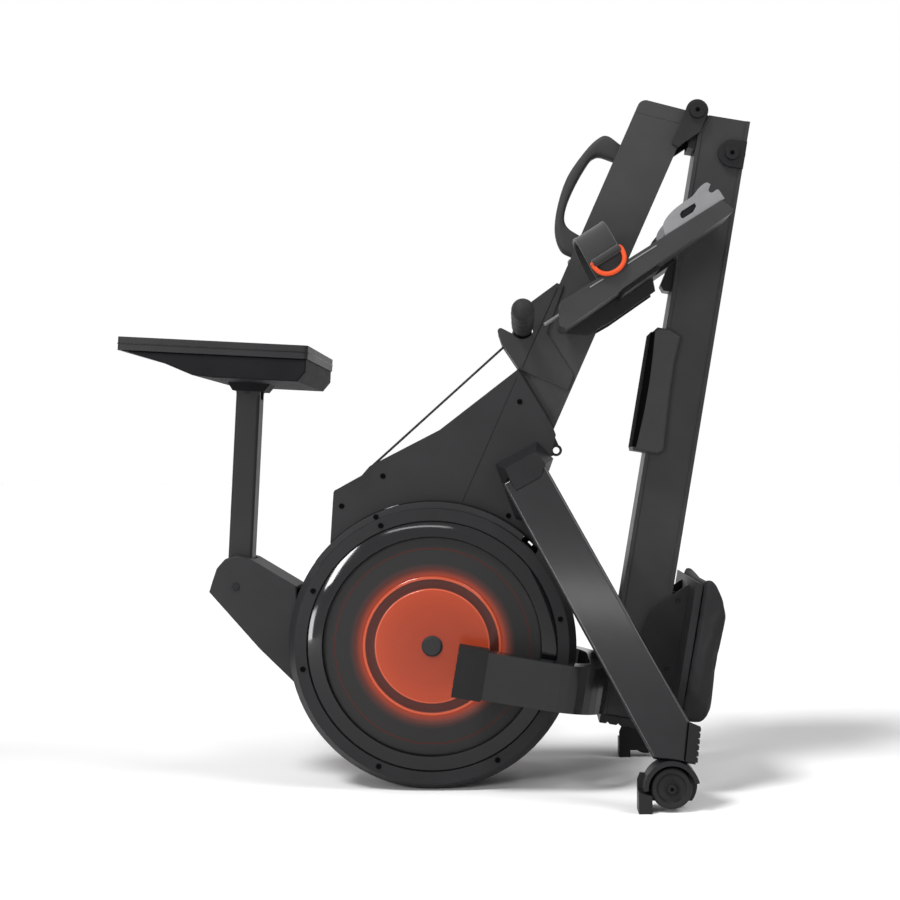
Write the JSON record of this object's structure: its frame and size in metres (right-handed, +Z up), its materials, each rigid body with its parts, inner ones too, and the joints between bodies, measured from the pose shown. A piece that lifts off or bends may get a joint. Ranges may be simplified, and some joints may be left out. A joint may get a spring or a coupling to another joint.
{
  "type": "folding rowing machine",
  "caption": "Rowing machine folded upright for storage: flywheel housing, hinged seat rail with sliding seat, footplates, pull handle, tilting console and transport wheels.",
  "frame": {"origin": "centre of the footprint box, on the floor, with the machine folded upright", "axes": "+Z up; +X from the console towards the seat rail; +Y across the machine, away from the near side"},
  "size_m": [0.9912, 0.4966, 1.1071],
  "materials": {
    "frame_paint": "satin charcoal powder coat",
    "leg_paint": "semi-gloss charcoal",
    "rail_finish": "satin charcoal anodised look",
    "cover_plastic": "fine-grained moulded plastic",
    "trim_plastic": "moulded plastic",
    "gloss_black": "piano gloss",
    "disc_plastic": "satin moulded disc",
    "orange_lens": "translucent orange, lit from behind",
    "hub_plastic": "moulded cap",
    "steel": "plated",
    "dark_steel": "black oxide",
    "cast_iron": "turned",
    "rubber": "moulded rubber",
    "tyre": "solid tyre",
    "light_grey": "satin",
    "orange_ring": "satin",
    "webbing": "woven",
    "grip_foam": "closed foam",
    "seat_cover": "moulded cushion skin",
    "screen": "glass-like panel"
  },
  "bodies": {
    "frame": {"main_beam": "frame_paint", "beam_end_cap": "trim_plastic", "hinge_ears": "frame_paint", "hinge_pin": "dark_steel", "drive_cover_near": "cover_plastic", "drive_cover_far": "cover_plastic", "shroud_near": "trim_plastic", "shroud_far": "trim_plastic", "gloss_rings": "gloss_black", "side_discs": "disc_plastic", "glow_lenses": "orange_lens", "hub_caps": "hub_plastic", "cover_screws": "dark_steel", "drive_axles": "steel", "drive_belt": "rubber", "magnet_brake": "steel", "axle_plates": "frame_paint", "strap_guide": "steel", "front_leg_near": "leg_paint", "front_leg_far": "leg_paint", "leg_sockets": "trim_plastic", "leg_cross_tube": "frame_paint", "foot_pads": "rubber", "wheel_brackets": "trim_plastic", "wheel_bolts": "dark_steel", "pedal_bracket": "frame_paint", "footplate_near": "cover_plastic", "footplate_far": "cover_plastic", "foot_straps": "webbing", "strap_rings": "orange_ring", "lift_handle": "trim_plastic", "handle_cradle": "cover_plastic", "drive_strap": "webbing", "console_arm": "cover_plastic", "post_pin": "steel"},
    "flywheel": {"flywheel": "cast_iron", "flywheel_bearings": "steel"},
    "reel": {"strap_reel": "trim_plastic"},
    "transport_wheel_near": {"wheel_near": "tyre"},
    "transport_wheel_far": {"wheel_far": "tyre"},
    "heel_near": {"heel_cup_near": "light_grey"},
    "heel_far": {"heel_cup_far": "light_grey"},
    "handle": {"handle_bar": "frame_paint", "handle_grips": "grip_foam"},
    "post": {"console_post": "frame_paint", "tilt_pin": "steel"},
    "console": {"console_back": "cover_plastic", "console_bezel": "trim_plastic", "console_screen": "screen"},
    "rail": {"seat_rail": "rail_finish", "rail_end_cap": "trim_plastic", "rail_knuckle": "frame_paint", "rail_latch": "dark_steel", "rail_grip_cover": "trim_plastic", "rear_leg": "leg_paint", "rear_leg_caps": "rubber"},
    "seat": {"seat_cushion": "seat_cover", "seat_carriage": "trim_plastic"},
    "roller_front": {"seat_roller_front": "steel"},
    "roller_rear": {"seat_roller_rear": "steel"}
  },
  "joints": [
    {"name": "fold_hinge", "type": "hinge", "parent": "frame", "child": "rail", "pos_m": [0.40915, 0, 1.089], "axis": [0, -1, 0], "range_deg": [0, 175]},
    {"name": "seat_slide", "type": "slide", "parent": "rail", "child": "seat", "axis": [0.1625, 0, 0.9867], "range_m": [0, 0.62]},
    {"name": "roller_front_spin", "type": "hinge", "parent": "seat", "child": "roller_front", "pos_m": [0.37749, 0, 0.29966], "axis": [0, 1, 0], "continuous": true},
    {"name": "roller_rear_spin", "type": "hinge", "parent": "seat", "child": "roller_rear", "pos_m": [0.35946, 0, 0.19013], "axis": [0, 1, 0], "continuous": true},
    {"name": "wheel_near_spin", "type": "hinge", "parent": "frame", "child": "transport_wheel_near", "pos_m": [0.34915, -0.222, 0.0364], "axis": [0, 1, 0], "continuous": true},
    {"name": "wheel_far_spin", "type": "hinge", "parent": "frame", "child": "transport_wheel_far", "pos_m": [0.34915, 0.222, 0.0364], "axis": [0, 1, 0], "continuous": true},
    {"name": "flywheel_spin", "type": "hinge", "parent": "frame", "child": "flywheel", "pos_m": [-0.01585, 0, 0.23], "axis": [0, 1, 0], "continuous": true},
    {"name": "reel_spin", "type": "hinge", "parent": "frame", "child": "reel", "pos_m": [-0.04585, 0, 0.503], "axis": [0, 1, 0], "continuous": true},
    {"name": "handle_pull", "type": "slide", "parent": "frame", "child": "handle", "axis": [-0.3633, 0, 0.9317], "range_m": [0, 0.35], "stiffness_N_per_m": 40, "springref_m": -0.5, "deforming": ["drive_strap"]},
    {"name": "heel_near_slide", "type": "slide", "parent": "frame", "child": "heel_near", "axis": [-0.8462, 0, -0.5329], "range_m": [0, 0.055]},
    {"name": "heel_far_slide", "type": "slide", "parent": "frame", "child": "heel_far", "axis": [-0.8462, 0, -0.5329], "range_m": [0, 0.055]},
    {"name": "post_pivot", "type": "hinge", "parent": "frame", "child": "post", "pos_m": [-0.33385, 0, 0.322], "axis": [0, -1, 0], "range_deg": [0, 60]},
    {"name": "console_tilt", "type": "hinge", "parent": "post", "child": "console", "pos_m": [-0.31832, 0, 0.63962], "axis": [0, -1, 0], "range_deg": [-15, 15]}
  ],
  "couplings": [
    {"joint": "roller_front_spin", "follows": "seat_slide", "rad_per_m": -114.94},
    {"joint": "roller_rear_spin", "follows": "seat_slide", "rad_per_m": -114.94},
    {"joint": "reel_spin", "follows": "flywheel_spin", "ratio": 0.47059}
  ]
}
